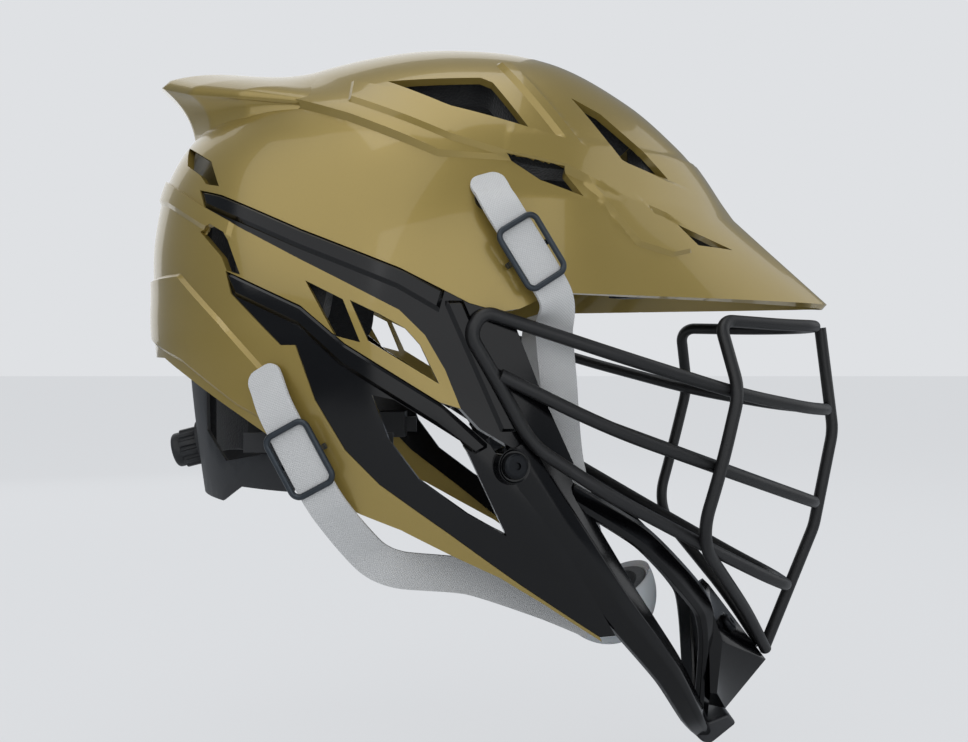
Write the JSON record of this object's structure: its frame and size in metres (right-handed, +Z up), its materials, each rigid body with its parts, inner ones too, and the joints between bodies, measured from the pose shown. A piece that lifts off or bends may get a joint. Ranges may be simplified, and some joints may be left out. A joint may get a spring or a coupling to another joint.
{
  "type": "sports helmet",
  "caption": "Lacrosse helmet with a vented shell and peaked visor, rear fin, wire face cage, pointed chin guard, nape cradle with a dial, and a buckled chin strap with a cup.",
  "frame": {"origin": "inside the helmet on its middle plane, at the middle of the wearer's head", "axes": "+X towards the face, +Y towards the wearer's left, +Z up, as worn"},
  "size_m": [0.3183, 0.2214, 0.3175],
  "materials": {
    "gold_paint": "glossy metallic paint",
    "black_plastic": "semi-gloss",
    "cage_wire": "matte powder coat",
    "foam": "matte foam",
    "webbing": "woven webbing",
    "dark_plastic": "matte",
    "black_hardware": "satin",
    "buckle_wire": "satin",
    "cup_shell": "satin"
  },
  "bodies": {
    "helmet": {"crown_shell": "gold_paint", "rear_shell": "gold_paint", "upper_frame_left": "black_plastic", "upper_frame_right": "black_plastic", "lower_frame_left": "black_plastic", "lower_frame_right": "black_plastic", "chin_guard": "black_plastic", "chin_plate": "black_plastic", "cage_top_bar": "cage_wire", "cage_upper_bar": "cage_wire", "cage_middle_bar": "cage_wire", "cage_lower_bar": "cage_wire", "cage_center_bar": "cage_wire", "cage_side_bar_left": "cage_wire", "cage_side_bar_right": "cage_wire", "cage_side_loop_left": "cage_wire", "cage_side_loop_right": "cage_wire", "side_bolts": "black_hardware", "side_nuts": "black_hardware", "chin_bolts": "black_hardware", "crown_liner": "foam", "side_liner_left": "foam", "side_liner_right": "foam", "rear_liner": "foam", "brow_pad": "foam", "guide_left": "dark_plastic", "guide_right": "dark_plastic", "front_strap_left": "webbing", "front_strap_right": "webbing", "rear_strap_left": "webbing", "rear_strap_right": "webbing", "front_snap_left": "black_hardware", "front_snap_right": "black_hardware", "rear_snap_left": "black_hardware", "rear_snap_right": "black_hardware", "chin_cup": "cup_shell", "chin_cup_pad": "foam"},
    "cradle": {"cradle": "dark_plastic", "cradle_pad": "foam", "dial_axle": "black_hardware"},
    "dial": {"fit_dial": "dark_plastic", "dial_cap": "dark_plastic"},
    "front_buckle_left": {"front_buckle_left": "buckle_wire"},
    "front_buckle_right": {"front_buckle_right": "buckle_wire"},
    "rear_buckle_left": {"rear_buckle_left": "buckle_wire"},
    "rear_buckle_right": {"rear_buckle_right": "buckle_wire"}
  },
  "joints": [
    {"name": "cradle_slide", "type": "slide", "parent": "helmet", "child": "cradle", "axis": [1, 0, 0], "range_m": [-0.004, 0.012]},
    {"name": "dial_turn", "type": "hinge", "parent": "cradle", "child": "dial", "pos_m": [-0.1075, 0, -0.05376], "axis": [-0.9703, 0, -0.2419], "range_deg": [-95, 275]},
    {"name": "front_buckle_slide_left", "type": "slide", "parent": "helmet", "child": "front_buckle_left", "axis": [0.5186, -0.0963, -0.8496], "range_m": [-0.004, 0.004]},
    {"name": "front_buckle_slide_right", "type": "slide", "parent": "helmet", "child": "front_buckle_right", "axis": [0.5186, 0.0963, -0.8496], "range_m": [-0.004, 0.004]},
    {"name": "rear_buckle_slide_left", "type": "slide", "parent": "helmet", "child": "rear_buckle_left", "axis": [0.4728, 0.0082, -0.8811], "range_m": [-0.004, 0.004]},
    {"name": "rear_buckle_slide_right", "type": "slide", "parent": "helmet", "child": "rear_buckle_right", "axis": [0.4728, -0.0082, -0.8811], "range_m": [-0.004, 0.004]}
  ],
  "couplings": [
    {"joint": "dial_turn", "follows": "cradle_slide", "rad_per_m": 392.7}
  ]
}
